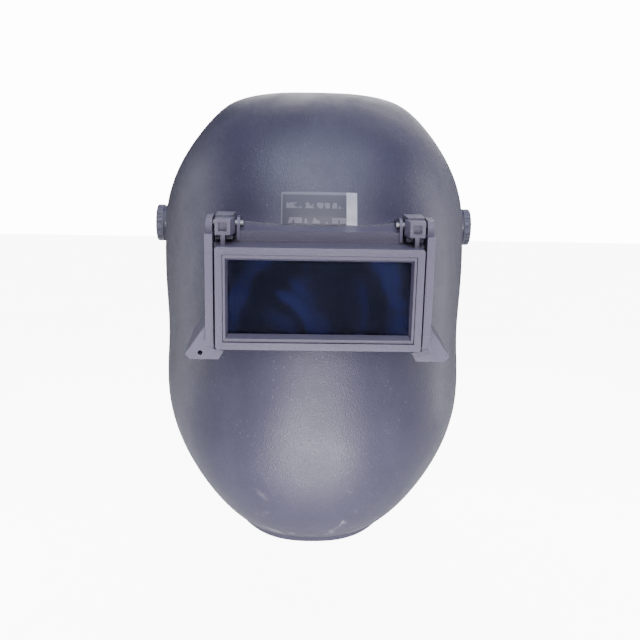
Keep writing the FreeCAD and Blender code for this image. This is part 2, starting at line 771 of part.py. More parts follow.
RIVET_Y = 44.0
headband = new_body("headband")
pad(headband, S["band_low"], S["band_wide"], front_band, BAND_MID, S["band_thick"])
for y, radius in ((ARM_Y, 2.1), (RIVET_Y, 1.6), (num(S["crown_y"]), 1.6)):
    sketch = new_sketch(headband, -90, "YZ_Plane")
    circle(sketch, y, ARM_Z, radius)
    through = solid_step(headband, "PartDesign::Pocket", sketch, 180)
    through.Reversed = True
PARTS.append(headband)


def brow_pad(sketch):
    outer = num(BAND_MID) - num(S["band_thick"]) / 2 - 0.6
    inner = outer - 6
    outline(sketch, [
        arc(0, FRONT_ARC_Y, outer, 205, 335),
        Part.LineSegment(arc_point(0, FRONT_ARC_Y, outer, 335), arc_point(0, FRONT_ARC_Y, inner, 335)),
        arc(0, FRONT_ARC_Y, inner, 335, 205),
        Part.LineSegment(arc_point(0, FRONT_ARC_Y, inner, 205), arc_point(0, FRONT_ARC_Y, outer, 205)),
    ])


sweatband = new_body("sweatband")
pad(sweatband, S["band_low"] - 2, S["band_wide"] + 4, brow_pad)
PARTS.append(sweatband)

# The rear straps are riveted outside the headband's ends and meet as two
# toothed racks, one above and one below the pinion.
STRAP_X = num(BAND_MID) + num(S["band_thick"]) + 0.3
CORNER_R = 52.0
CORNER_X = STRAP_X - CORNER_R
REAR_Y = num(S["head_back"])
CORNER_Y = REAR_Y - CORNER_R
RACK_END = -26.0
RACK_GAP = 4.3
TOOTH = 1.7
PITCH = 2 * math.pi * num(S["pinion_pitch"]) / 8


def strap_path(sketch, end_x):
    half = num(S["band_thick"]) / 2
    outline(sketch, [
        Part.LineSegment(V(STRAP_X + half, STRAP_FRONT, 0), V(STRAP_X + half, CORNER_Y, 0)),
        arc(CORNER_X, CORNER_Y, CORNER_R + half, 0, 90),
        Part.LineSegment(V(CORNER_X, REAR_Y + half, 0), V(end_x, REAR_Y + half, 0)),
        Part.LineSegment(V(end_x, REAR_Y + half, 0), V(end_x, REAR_Y - half, 0)),
        Part.LineSegment(V(end_x, REAR_Y - half, 0), V(CORNER_X, REAR_Y - half, 0)),
        arc(CORNER_X, CORNER_Y, CORNER_R - half, 90, 0),
        Part.LineSegment(V(STRAP_X - half, CORNER_Y, 0), V(STRAP_X - half, STRAP_FRONT, 0)),
        Part.LineSegment(V(STRAP_X - half, STRAP_FRONT, 0), V(STRAP_X + half, STRAP_FRONT, 0)),
    ])


def rear_strap(label, upper):
    """One strap; upper says whether its rack runs over the pinion."""
    body = new_body(label)
    low = S["band_low"]
    pad(body, low, S["band_wide"], strap_path, RACK_END)
    axis = S["ratchet_z"]
    # Thin the end to a rack above or below the pinion.
    cut_top = axis + RACK_GAP if upper else S["band_low"] + S["band_wide"] + 1
    cut_length = cut_top - (low - 1) if upper else cut_top - (axis - RACK_GAP)
    pocket(body, cut_top, cut_length, rectangle, -40, 95, 34, 120)
    rim_top = low + S["band_wide"] + 1 if upper else low + 1.5
    rim_length = 2.5
    pocket(body, rim_top, rim_length, rectangle, -40, 95, 34, 120)
    tooth = new_sketch(body, -REAR_Y + num(S["band_thick"]) / 2 - 0.02, "XZ_Plane")
    sign = 1 if upper else -1
    edge = num(axis) + sign * (RACK_GAP + 0.2)
    tip = edge - sign * TOOTH
    for k in range(-7, 8):
        x = (k + 0.5) * PITCH
        if x < RACK_END + 2:
            continue
        outline(tooth, polygon([(x - 0.75, edge), (x + 0.75, edge), (x + 0.35, tip), (x - 0.35, tip)]))
    step = solid_step(body, "PartDesign::Pad", tooth, S["band_thick"] - 0.04)
    step.Reversed = True
    doc.recompute()
    hole = new_sketch(body, 70, "YZ_Plane")
    circle(hole, RIVET_Y, ARM_Z, 1.6)
    bore = solid_step(body, "PartDesign::Pocket", hole, 30)
    bore.Reversed = True
    return body


strap_right = rear_strap("rear_strap_right", True)
lower = rear_strap("rear_strap_pattern", False)
strap_left = mirrored(lower, "rear_strap_left")
PARTS += [strap_right, strap_left]

# Crown straps: two half arches that overlap at the top.
CROWN_BASE = -15.0


def half_arch(sketch, rise, over):
    """A strap from one side, over the top and a little way past it."""
    outer_x = num(BAND_MID) - num(S["band_thick"]) / 2 - 0.4
    arcs = []
    for shrink in (0, num(S["band_thick"]) - 0.4):
        ellipse = Part.Ellipse(V(0, num(rise) - shrink, 0), V(outer_x - shrink, CROWN_BASE, 0),
                               V(0, CROWN_BASE, 0))
        past_top = math.asin(over / (outer_x - shrink))
        arcs.append(Part.ArcOfEllipse(ellipse, -past_top, math.pi / 2))
    foot = V(0, -8, 0)
    top = [piece.StartPoint for piece in arcs]
    side = [piece.EndPoint for piece in arcs]
    outline(sketch, arcs + [
        Part.LineSegment(*top),
        Part.LineSegment(side[0], side[0] + foot),
        Part.LineSegment(side[0] + foot, side[1] + foot),
        Part.LineSegment(side[1] + foot, side[1]),
    ])


def crown_strap(label, rise):
    body = new_body(label)
    pad(body, -S["crown_y"] - S["crown_wide"] / 2, S["crown_wide"], half_arch, rise, 24,
        role="XZ_Plane")
    top = new_sketch(body, 100)
    circle(top, 0, S["crown_y"], 2.1)
    solid_step(body, "PartDesign::Pocket", top, 60)
    foot = new_sketch(body, 60, "YZ_Plane")
    circle(foot, S["crown_y"], ARM_Z, 1.6)
    bore = solid_step(body, "PartDesign::Pocket", foot, 30)
    bore.Reversed = True
    return body


crown_right = crown_strap("crown_strap_right", S["crown_high"])
crown_low = crown_strap("crown_strap_pattern", S["crown_high"] - S["band_thick"] - 0.2)
PARTS += [crown_right, mirrored(crown_low, "crown_strap_left")]

button = new_body("crown_button")
pad(button, S["crown_high"] - 7, 1.4, circle, 0, S["crown_y"], 4.5)
pad(button, S["crown_high"] - 6, 7.2, circle, 0, S["crown_y"], 2.0)
pad(button, S["crown_high"] + 0.3, 1.4, circle, 0, S["crown_y"], 4.5)
PARTS.append(button)


def rivet_pair(label, y, radius, spans):
    """Rivets with a head at each end, one on each side of the head."""
    solids = []
    for side in (-1, 1):
        start, end = spans
        body = rod(radius, (side * start, y, ARM_Z), (side, 0, 0), end - start)
        inner_head = rod(radius * 1.8, (side * (start - 1.0), y, ARM_Z), (side, 0, 0), 1.0)
        outer_head = rod(radius * 1.8, (side * end, y, ARM_Z), (side, 0, 0), 1.0)
        solids.append(body.fuse([inner_head, outer_head]).removeSplitter())
    return coded(label, Part.makeCompound(solids))


half_band = num(S["band_thick"]) / 2
in_face = num(BAND_MID) - half_band
PARTS.append(rivet_pair("arm_rivets", ARM_Y, 2.0, (in_face - 0.1, ARM_X + 3.1)))
PARTS.append(rivet_pair("strap_rivets", RIVET_Y, 1.5, (in_face - 0.1, STRAP_X + half_band + 0.1)))
PARTS.append(rivet_pair("crown_rivets", num(S["crown_y"]), 1.5,
                        (in_face - 2.4, num(BAND_MID) + half_band + 0.1)))

# ---------------------------------------------------------------- ratchet

REAR_FRAME = FreeCAD.Placement(V(0, REAR_Y, num(S["ratchet_z"])),
                               FreeCAD.Rotation(V(-1, 0, 0), V(0, 0, 1), V(0, 1, 0)))
STRAP_ROOM = num(S["band_thick"]) / 2 + 0.5
CASE_HALF_X = 33.0
CASE_HALF_Z = 14.5
CASE_BACK = 9 - STRAP_ROOM
case = new_body("ratchet_housing", REAR_FRAME)
pad(case, -STRAP_ROOM, 9, rectangle, -CASE_HALF_X, -CASE_HALF_Z, CASE_HALF_X, CASE_HALF_Z)
pocket(case, STRAP_ROOM, 2 * STRAP_ROOM + 1, rectangle, -CASE_HALF_X - 1, -11.9, CASE_HALF_X + 1, 11.9)
pocket(case, 12, 14, circle, 0, 0, 3.06)
for x in (-28, 28):
    pocket(case, 12, 16, circle, x, 0, 1.6)
PARTS.append(case)

back_plate = new_body("ratchet_back_plate", REAR_FRAME)
pad(back_plate, -STRAP_ROOM - 2.2, 2, rectangle, -CASE_HALF_X, -CASE_HALF_Z,
    CASE_HALF_X, CASE_HALF_Z)
for x in (-28, 28):
    pad(back_plate, -STRAP_ROOM - 0.2, 2 * STRAP_ROOM + 0.1, circle, x, 0, 3.0)
    pocket(back_plate, 6, 9, circle, x, 0, 1.3)
PARTS.append(back_plate)

nape = new_body("nape_pad", REAR_FRAME)
pad(nape, -STRAP_ROOM - 9, 6.4, rectangle, -CASE_HALF_X + 1, -CASE_HALF_Z + 1,
    CASE_HALF_X - 1, CASE_HALF_Z - 1)
PARTS.append(nape)

case_screws = []
for x in (-28, 28):
    shank = rod(1.25, (x, 0, -STRAP_ROOM - 1.2), (0, 0, 1), CASE_BACK + STRAP_ROOM + 1.3)
    head = rod(2.6, (x, 0, CASE_BACK + 0.1), (0, 0, 1), 1.6)
    case_screws.append(shank.fuse(head).removeSplitter())
PARTS.append(coded("housing_screws", Part.makeCompound(case_screws), REAR_FRAME))


def gear_points(teeth, root, tip):
    points = []
    for k in range(teeth):
        for share, radius in ((-0.30, root), (-0.13, tip), (0.13, tip), (0.30, root)):
            angle = 2 * math.pi * (k + share) / teeth + math.pi / 2
            points.append((radius * math.cos(angle), radius * math.sin(angle)))
    return points


pinion = new_body("pinion", REAR_FRAME)
pad(pinion, -STRAP_ROOM + 0.1, 2 * STRAP_ROOM - 0.3,
    lambda sketch: outline(sketch, polygon(gear_points(8, 2.9, 4.0))))
pad(pinion, 0, 13, circle, 0, 0, 3.0)
PARTS.append(pinion)

dial = new_body("ratchet_knob", REAR_FRAME)
DIAL_BASE = 8.4
turned(dial, S["ratchet_dia"] / 2, DIAL_BASE, DIAL_BASE + 12, 2.0)
dial_flute = new_sketch(dial, DIAL_BASE + 12.1)
circle(dial_flute, S["ratchet_dia"] / 2 + 1.2, 0, 2.6)
around(dial, solid_step(dial, "PartDesign::Pocket", dial_flute, 11.2), 16)
pocket(dial, DIAL_BASE + 2.2, 3, circle, 0, 0, 13)
pocket(dial, DIAL_BASE + 5.6, 6, circle, 0, 0, 3.03)
PARTS.append(dial)

spring = new_body("ratchet_spring", REAR_FRAME)
pad(spring, 7.55, 0.8, ring, 11, 3.3)
for turn in (0, 120, 240):
    at = arc_point(0, 0, 9.2, turn)
    pad(spring, 8.2, 1.0, circle, at.x, at.y, 1.1)
PARTS.append(spring)

# ---------------------------------------------------------------- output

doc.recompute()
faulty = [obj.Label for obj in doc.Objects
          if "Invalid" in obj.State or "Error" in obj.State]
if faulty:
    raise RuntimeError("features with errors: " + ", ".join(faulty))
for part in PARTS:
    shape = part.Shape
    if shape.isNull() or not shape.isValid() or not shape.Solids:
        raise RuntimeError(part.Label + ": no valid solid")
os.makedirs("parts", exist_ok=True)
for part in PARTS:
    part.Shape.exportStep(f"parts/{part.Label}.step")
    box = part.Shape.BoundBox
    print(f"{part.Label:26s} {len(part.Shape.Solids)} {part.Shape.Volume:10.1f}"
          f"  x {box.XMin:7.1f} {box.XMax:7.1f}  y {box.YMin:7.1f} {box.YMax:7.1f}"
          f"  z {box.ZMin:7.1f} {box.ZMax:7.1f}")
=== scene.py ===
import json
import math

import bmesh
import bpy
from mathutils import Matrix, Vector


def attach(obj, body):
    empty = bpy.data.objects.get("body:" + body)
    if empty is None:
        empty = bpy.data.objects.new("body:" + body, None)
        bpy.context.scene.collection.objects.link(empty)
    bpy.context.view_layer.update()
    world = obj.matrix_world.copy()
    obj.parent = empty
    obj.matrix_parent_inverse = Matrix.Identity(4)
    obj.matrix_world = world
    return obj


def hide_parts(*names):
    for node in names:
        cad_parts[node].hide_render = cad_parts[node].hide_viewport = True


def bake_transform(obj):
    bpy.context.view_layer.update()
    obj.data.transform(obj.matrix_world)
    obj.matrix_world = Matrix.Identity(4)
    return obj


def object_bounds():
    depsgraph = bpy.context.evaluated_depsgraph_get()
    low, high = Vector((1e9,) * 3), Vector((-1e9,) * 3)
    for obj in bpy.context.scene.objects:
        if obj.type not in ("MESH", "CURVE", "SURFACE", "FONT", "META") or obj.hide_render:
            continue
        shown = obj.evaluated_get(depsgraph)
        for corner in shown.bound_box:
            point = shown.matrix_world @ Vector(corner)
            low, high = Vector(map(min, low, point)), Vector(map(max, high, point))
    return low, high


# A lift-front welding helmet. Metres, +Z up, the wearer looks along -Y, and the
# origin is the middle of the axis on which the shell pivots on its headgear.

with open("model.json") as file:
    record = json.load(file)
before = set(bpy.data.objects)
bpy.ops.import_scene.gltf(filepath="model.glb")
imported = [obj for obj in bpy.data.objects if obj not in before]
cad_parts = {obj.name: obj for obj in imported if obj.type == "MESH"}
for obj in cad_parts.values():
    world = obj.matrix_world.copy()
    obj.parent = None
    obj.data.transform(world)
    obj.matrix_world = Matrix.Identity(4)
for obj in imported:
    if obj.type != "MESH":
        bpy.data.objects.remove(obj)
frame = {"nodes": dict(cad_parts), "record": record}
cad_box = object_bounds()
MM = 0.001


# ---------------------------------------------------------------- node helpers

class Nodes:
    """A material's node tree with short calls for the nodes used here."""

    def __init__(self, name):
        self.material = bpy.data.materials.new(name)
        self.material.use_nodes = True
        self.tree = self.material.node_tree
        self.shader = self.tree.nodes["Principled BSDF"]
        coords = self.tree.nodes.new("ShaderNodeTexCoord")
        self.position = coords.outputs["Object"]

    def link(self, value, socket):
        """Feed a socket from another node's output, or set it to a plain value."""
        if hasattr(value, "is_output"):
            self.tree.links.new(value, socket)
        else:
            socket.default_value = value

    def set(self, **values):
        """Set the shader's own sockets; underscores stand for spaces."""
        for name, value in values.items():
            self.link(value, self.shader.inputs[name.replace("_", " ")])

    def scaled(self, factors):
        """The object's coordinates, multiplied axis by axis: a small factor draws patterns out."""
        mapping = self.tree.nodes.new("ShaderNodeMapping")
        mapping.inputs["Scale"].default_value = factors
        self.link(self.position, mapping.inputs["Vector"])
        return mapping.outputs["Vector"]

    def noise(self, scale, detail=4.0, rough=0.55, factors=(1, 1, 1), distortion=0.0):
        """Cloudy noise from 0 to 1."""
        node = self.tree.nodes.new("ShaderNodeTexNoise")
        node.inputs["Scale"].default_value = scale
        node.inputs["Detail"].default_value = detail
        node.inputs["Roughness"].default_value = rough
        node.inputs["Distortion"].default_value = distortion
        self.link(self.scaled(factors), node.inputs["Vector"])
        return node.outputs["Fac"]

    def cells(self, scale, feature="F1", factors=(1, 1, 1)):
        """Distance from the middle of the nearest Voronoi cell."""
        node = self.tree.nodes.new("ShaderNodeTexVoronoi")
        node.feature = feature
        node.inputs["Scale"].default_value = scale
        self.link(self.scaled(factors), node.inputs["Vector"])
        return node.outputs["Distance"]

    def ramp(self, value, *stops):
        """Map a value through (position, grey or colour) stops."""
        node = self.tree.nodes.new("ShaderNodeValToRGB")
        elements = node.color_ramp.elements
        while len(elements) < len(stops):
            elements.new(0.5)
        for element, (position, colour) in zip(elements, stops):
            element.position = position
            if not hasattr(colour, "__len__"):
                colour = (colour, colour, colour)
            element.color = (*colour[:3], 1)
        self.link(value, node.inputs["Fac"])
        return node.outputs["Color"]

    def math(self, kind, a, b=0.0):
        """One step of arithmetic on two values."""
        node = self.tree.nodes.new("ShaderNodeMath")
        node.operation = kind
        self.link(a, node.inputs[0])
        self.link(b, node.inputs[1])
        return node.outputs[0]

    def mix(self, share, a, b):
        """Blend from a to b by share."""
        node = self.tree.nodes.new("ShaderNodeMix")
        node.data_type = "RGBA"
        self.link(share, node.inputs["Factor"])
        for value, socket in ((a, node.inputs["A"]), (b, node.inputs["B"])):
            if hasattr(value, "__len__"):
                value = (*value[:3], 1)
            self.link(value, socket)
        return node.outputs["Result"]

    def bump(self, height, strength, distance, after=None):
        """Raise the surface by a height pattern, on top of an earlier bump if one is given."""
        node = self.tree.nodes.new("ShaderNodeBump")
        node.inputs["Strength"].default_value = strength
        node.inputs["Distance"].default_value = distance
        self.link(height, node.inputs["Height"])
        if after is not None:
            self.link(after, node.inputs["Normal"])
        self.link(node.outputs["Normal"], self.shader.inputs["Normal"])
        return node.outputs["Normal"]

    def axis(self, index):
        """One of the object's own coordinates: 0 for x, 1 for y, 2 for z."""
        node = self.tree.nodes.new("ShaderNodeSeparateXYZ")
        self.link(self.position, node.inputs[0])
        return node.outputs[index]

    def lit_to_eye(self, seen, otherwise):
        """One strength where the surface is looked at, another where it lights things."""
        path = self.tree.nodes.new("ShaderNodeLightPath")
        share = self.math("MULTIPLY", path.outputs["Is Camera Ray"], seen - otherwise)
        return self.math("ADD", share, otherwise)

    def edges(self):
        """Where to paint a highlight on convex edges: the mesh's own pointiness."""
        node = self.tree.nodes.new("ShaderNodeNewGeometry")
        return node.outputs["Pointiness"]


# ---------------------------------------------------------------- materials

# Bump heights, in metres.
GRAIN_DEPTH = 0.00022
RIPPLE_DEPTH = 0.0004


def moulded_plastic(name, colour, grain, rough, dust=0.0, scuffs=False):
    """Grained moulding, faintly mottled, with a painted highlight along its convex edges, and dust or
    scuffs if wanted.
    """
    n = Nodes(name)
    mottle = n.noise(9, 5, 0.6)
    dark = tuple(c * 0.88 for c in colour)
    light = tuple(min(1, c * 1.12) for c in colour)
    base = n.ramp(mottle, (0.3, dark), (0.7, light))
    # Painted highlight: convex edges, found by pointiness, are blended a quarter of the way towards a
    # paler colour.
    edge_highlight_mask = n.ramp(n.edges(), (0.52, 0.0), (0.60, 1.0))
    wear_and_highlight = tuple(min(1, c * 1.9 + 0.02) for c in colour)
    base = n.mix(n.math("MULTIPLY", edge_highlight_mask, 0.25), base, wear_and_highlight)
    roughness = n.ramp(n.noise(30, 4), (0.3, rough[0]), (0.7, rough[1]))
    if dust:
        base, roughness = dusty(n, base, roughness, colour, dust)
    if scuffs:
        base, roughness = scuffed(n, base, roughness)
    n.set(Base_Color=base, Roughness=roughness, Specular_IOR_Level=0.5)
    fine = n.cells(grain)
    first = n.bump(fine, strength=0.55, distance=GRAIN_DEPTH)
    n.bump(n.noise(700, 3, 0.7), strength=0.35, distance=RIPPLE_DEPTH, after=first)
    return n.material


def dusty(n, base, roughness, colour, amount):
    """Pale specks and broad smears of dust over a plastic."""
    specks = n.ramp(n.cells(300), (0.09, 1.0), (0.16, 0.0))
    field = n.ramp(n.noise(38, 6, 0.7), (0.44, 0.0), (0.58, 1.0))
    specks = n.math("MULTIPLY", n.math("MULTIPLY", specks, field), 0.4)
    pale = tuple(min(1, c * 2.4 + 0.14) for c in colour)
    base = n.mix(n.math("MULTIPLY", specks, amount), base, pale)
    smears = n.ramp(n.noise(16, 8, 0.72, (1, 1, 0.45), 0.6), (0.50, 0.0), (0.70, 1.0))
    haze = tuple(min(1, c * 1.45 + 0.02) for c in colour)
    base = n.mix(n.math("MULTIPLY", smears, 0.45 * amount), base, haze)
    roughness = n.mix(n.math("MULTIPLY", smears, 0.5), roughness, (0.75, 0.75, 0.75))
    return base, roughness


# How far the shell reaches below the origin, and how fast the scuffs thin out above that.
SHELL_FOOT = 0.210
SCUFF_FALL = 8


def scuffed(n, base, roughness):
    """Whitish rub marks all round the lowest part of the shell, where it is set down."""
    height = n.math("ADD", n.axis(2), SHELL_FOOT)
    low = n.ramp(n.math("MULTIPLY", height, SCUFF_FALL), (0.15, 1.0), (0.55, 0.0))
    marks = n.ramp(n.noise(34, 8, 0.72, (1, 1, 0.35), 1.2), (0.56, 0.0), (0.68, 1.0))
    share = n.math("MULTIPLY", n.math("MULTIPLY", low, marks), 0.55)
    return n.mix(share, base, (0.42, 0.41, 0.46)), n.mix(share, roughness, (0.8, 0.8, 0.8))


SHELL_GREY = (0.037, 0.034, 0.066)
FRAME_GREY = (0.064, 0.057, 0.096)
STRAP_BLACK = (0.022, 0.022, 0.026)

MATERIALS = {
    "shell_plastic": moulded_plastic("shell_plastic", SHELL_GREY, 1300, (0.36, 0.48), 0.8, scuffs=True),
    "frame_plastic": moulded_plastic("frame_plastic", FRAME_GREY, 1800, (0.38, 0.50), 0.4),
    "knob_plastic": moulded_plastic("knob_plastic", (0.070, 0.070, 0.105), 3000, (0.36, 0.50), 0.2),
    "strap_plastic": moulded_plastic("strap_plastic", STRAP_BLACK, 3200, (0.32, 0.46)),
    "fibre": moulded_plastic("fibre", (0.20, 0.15, 0.10), 900, (0.7, 0.85)),
    "gasket_rubber": moulded_plastic("gasket_rubber", (0.018, 0.018, 0.018), 1600, (0.65, 0.8)),
}


def turned_metal(name, colour, rough):
    """Machined metal: fine streaks along X, grime in patches."""
    n = Nodes(name)
    streak = n.noise(60, 5, 0.6, (1, 30, 30))
    base = n.ramp(streak, (0.3, tuple(c * 0.8 for c in colour)), (0.7, colour))
    grime = n.ramp(n.noise(45, 5, 0.65), (0.50, 0.0), (0.72, 1.0))
    base = n.mix(n.math("MULTIPLY", grime, 0.5), base, tuple(c * 0.35 for c in colour))
    n.set(Base_Color=base, Metallic=1.0,
          Roughness=n.ramp(n.noise(90, 4), (0.3, rough), (0.7, rough + 0.15)))
    n.bump(streak, strength=0.12, distance=0.0001)
    return n.material


MATERIALS["steel"] = turned_metal("steel", (0.17, 0.17, 0.19), 0.34)
MATERIALS["brass"] = turned_metal("brass", (0.72, 0.52, 0.22), 0.25)


def clear_plate():
    """Clear plate with faint scratches.

    Its IOR is far below a real plate's, so that it hardly mirrors the floor.
    """
    n = Nodes("clear_plate")
    scratches = n.ramp(n.noise(120, 6, 0.7, (1, 1, 8), 0.4), (0.55, 0.015), (0.8, 0.06))
    n.set(Base_Color=(0.86, 0.89, 0.96, 1), Transmission_Weight=1.0, IOR=1.07, Roughness=scratches)
    return n.material


def filter_glass():
    """Near-black welding glass with blotches of painted bluish reflection and a few dust specks.

    Its IOR and specular level are below real glass, so that it hardly mirrors the floor.
    """
    n = Nodes("filter_glass")
    base = n.ramp(n.noise(7, 4, 0.6), (0.3, (0.004, 0.004, 0.010)), (0.7, (0.009, 0.009, 0.022)))
    # Painted reflection: bluish blotches mixed into the glass's colour, standing in for the blue
    # reflections on the lens.
    painted_reflection = n.ramp(n.noise(24, 3, 0.55, (1, 1, 0.6), 0.9), (0.50, 0.0), (0.62, 1.0))
    base = n.mix(n.math("MULTIPLY", painted_reflection, 0.75), base, (0.012, 0.014, 0.050))
    specks = n.ramp(n.cells(330), (0.04, 1.0), (0.07, 0.0))
    field = n.ramp(n.noise(40, 5, 0.7), (0.55, 0.0), (0.66, 1.0))
    base = n.mix(n.math("MULTIPLY", n.math("MULTIPLY", specks, field), 0.6), base, (0.25, 0.25, 0.32))
    n.set(Base_Color=base, IOR=1.2, Specular_IOR_Level=0.15,
          Roughness=n.ramp(n.noise(16, 5, 0.6), (0.35, 0.05), (0.7, 0.16)))
    n.bump(n.noise(10, 2), strength=0.05, distance=0.0006)
    return n.material


MATERIALS["clear_plate"] = clear_plate()
MATERIALS["filter_glass"] = filter_glass()

LOOP_SCALE = 900


def knitted(name, colour):
    """Knitted cover over foam: small loops, flattened in height, painted paler at their middles and
    darker at their edges as light and shade, with a soft sheen.
    """
    n = Nodes(name)
    loops = n.cells(LOOP_SCALE, "SMOOTH_F1", (1, 1, 1.6))
    # Painted light and shade: each loop paler at its middle and darker towards its edges.
    lit_crest = tuple(min(1, c * 1.5) for c in colour)
    shaded_valley = tuple(c * 0.45 for c in colour)
    base = n.ramp(loops, (0.1, lit_crest), (0.75, shaded_valley))
    wear_and_highlight = n.ramp(n.noise(22, 5, 0.6), (0.4, 0.0), (0.7, 1.0))
    base = n.mix(n.math("MULTIPLY", wear_and_highlight, 0.3), base, tuple(min(1, c * 1.8 + 0.01) for c in colour))
    n.set(Base_Color=base, Roughness=0.9, Sheen_Weight=0.35, Sheen_Roughness=0.5)
    n.bump(loops, strength=0.6, distance=0.0006)
    return n.material


MATERIALS["sweatband_fabric"] = knitted("sweatband_fabric", (0.050, 0.050, 0.056))

# The label's print, in the object's own x and z.
LABEL_HALF_WIDTH = 0.0220
LABEL_PRINT_END = 0.0158
LABEL_LOW, LABEL_HIGH = 0.0037, 0.0233
LABEL_BORDER = 0.0008
LABEL_MARGIN = 0.003
LABEL_ROWS_PER_METRE = 118


def printed_foil():
    """A foil label: dark print with a pale border and bars, bare foil at its +X end, painted darker in
    its crease hollows as shade.
    """
    n = Nodes("foil")
    across = n.axis(0)
    up = n.axis(2)
    creases = n.noise(55, 5, 0.6, (1, 1, 1), 0.8)
    # Painted light and shade: the bare foil is darker in the hollows of the crease bump and paler on
    # its ridges.
    bare = n.ramp(creases, (0.3, (0.20, 0.19, 0.24)), (0.7, (0.40, 0.39, 0.44)))
    rows = n.math("FRACT", n.math("MULTIPLY", n.math("SUBTRACT", up, LABEL_LOW), LABEL_ROWS_PER_METRE))
    rows = n.ramp(n.math("ABSOLUTE", n.math("SUBTRACT", rows, 0.5)), (0.17, 1.0), (0.21, 0.0))
    breaks = n.ramp(n.noise(260, 1, 0.4, (1, 1, 0.01)), (0.46, 0.0), (0.48, 1.0))
    inset = n.math("LESS_THAN", n.math("ABSOLUTE", across), LABEL_HALF_WIDTH - LABEL_MARGIN)
    bars = n.math("MULTIPLY", n.math("MULTIPLY", rows, breaks), inset)
    printed = n.mix(n.math("MULTIPLY", bars, 0.6), (0.038, 0.036, 0.060), (0.15, 0.145, 0.19))
    middle = (LABEL_LOW + LABEL_HIGH) / 2
    reach = (LABEL_HIGH - LABEL_LOW) / 2 - LABEL_BORDER
    rim_x = n.math("GREATER_THAN", n.math("ABSOLUTE", across), LABEL_HALF_WIDTH - LABEL_BORDER)
    rim_z = n.math("GREATER_THAN", n.math("ABSOLUTE", n.math("SUBTRACT", up, middle)), reach)
    printed = n.mix(n.math("MAXIMUM", rim_x, rim_z), printed, (0.10, 0.097, 0.135))
    right = n.math("GREATER_THAN", across, LABEL_PRINT_END)
    n.set(Base_Color=n.mix(right, printed, bare), Metallic=n.mix(right, (0.1,) * 3, (0.6,) * 3),
          Roughness=n.ramp(creases, (0.3, 0.34), (0.7, 0.52)))
    n.bump(creases, strength=0.25, distance=0.0006)
    return n.material


MATERIALS["foil"] = printed_foil()

slot_of = {part["node"]: part["material_slot"] for part in frame["record"]["subparts"]}
for name, node in frame["nodes"].items():
    node.data.materials.clear()
    node.data.materials.append(MATERIALS[slot_of[name]])

# Widths of the rounded edges, in millimetres.
BEVELLED = {"window_base_frame": 0.6, "lift_frame": 0.5, "plate_bezel": 0.3, "headband": 0.4,
            "crown_strap_right": 0.4, "crown_strap_left": 0.4, "side_arm_right": 0.5,
            "side_arm_left": 0.5, "ratchet_housing": 0.8, "ratchet_back_plate": 0.5,
            "rating_label": 0.1, "tilt_stop_plate_right": 0.3, "tilt_stop_plate_left": 0.3}
for name, width in BEVELLED.items():
    rounding = frame["nodes"][name].modifiers.new("rounded_edges", "BEVEL")
    rounding.width = width * MM
    rounding.segments = 2
    rounding.limit_method = "ANGLE"
    rounding.angle_limit = math.radians(35)
    rounding.use_clamp_overlap = True

# ---------------------------------------------------------------- soft goods


def swept_band(name, centre_line, profile):
    """A band whose cross-section follows a line of (point, across, up) stations."""
    mesh = bmesh.new()
    rings = []
    for point, across, up in centre_line:
        rings.append([mesh.verts.new(point + across * a + up * b) for a, b in profile])
    count = len(profile)
    for first, second in zip(rings, rings[1:]):
        for k in range(count):
            mesh.faces.new((first[k], first[(k + 1) % count], second[(k + 1) % count], second[k]))
    mesh.faces.new(list(reversed(rings[0])))
    mesh.faces.new(rings[-1])
    bmesh.ops.recalc_face_normals(mesh, faces=mesh.faces)
    data = bpy.data.meshes.new(name)
    mesh.to_mesh(data)
    mesh.free()
    for face in data.polygons:
        face.use_smooth = True
    piece = bpy.data.objects.new(name, data)
    bpy.context.collection.objects.link(piece)
    return piece


CORNER_POINTS = 5


def cushion_profile(thick, tall, corner):
    """A rectangular section, thick by tall, with rounded corners."""
    points = []
    for quarter, (sx, sy) in enumerate(((1, 1), (-1, 1), (-1, -1), (1, -1))):
        for k in range(CORNER_POINTS):
            angle = math.radians(90 * (quarter + k / (CORNER_POINTS - 1)))
            points.append((sx * (thick / 2 - corner) + corner * math.cos(angle),
                           sy * (tall / 2 - corner) + corner * math.sin(angle)))
    return points


def end_taper(k, steps, least, rate):
    """Share of the full section at station k of a cushion, least at its two ends."""
    return min(1.0, least + rate * min(k, steps - k) / steps)


CUSHION_VOXEL = 0.00231
CUSHION_PRESSURE = 4.0
SWELL_CAP = 0.0012
SWELL_FRAMES = 20


def swell(piece):
    """Puff a closed piece by cloth simulation, each point by no more than the cap, and smooth it."""
    remesh = piece.modifiers.new("remesh", "REMESH")
    remesh.mode = "VOXEL"
    remesh.voxel_size = CUSHION_VOXEL
    bake(piece)
    before = [vertex.co.copy() for vertex in piece.data.vertices]
    cloth = piece.modifiers.new("cloth", "CLOTH")
    cloth.settings.use_pressure = True
    cloth.settings.uniform_pressure_force = CUSHION_PRESSURE
    cloth.settings.tension_stiffness = 30
    cloth.settings.bending_stiffness = 1.5
    cloth.settings.effector_weights.gravity = 0
    for number in range(1, SWELL_FRAMES + 1):
        bpy.context.scene.frame_set(number)
    bake(piece)
    bpy.context.scene.frame_set(1)
    for vertex, old in zip(piece.data.vertices, before):
        move = vertex.co - old
        if move.length > SWELL_CAP:
            vertex.co = old + move * (SWELL_CAP / move.length)
    smooth = piece.modifiers.new("even", "SMOOTH")
    smooth.iterations = 3
    finer = piece.modifiers.new("finer", "SUBSURF")
    finer.levels = finer.render_levels = 1
    bake(piece)
    for face in piece.data.polygons:
        face.use_smooth = True


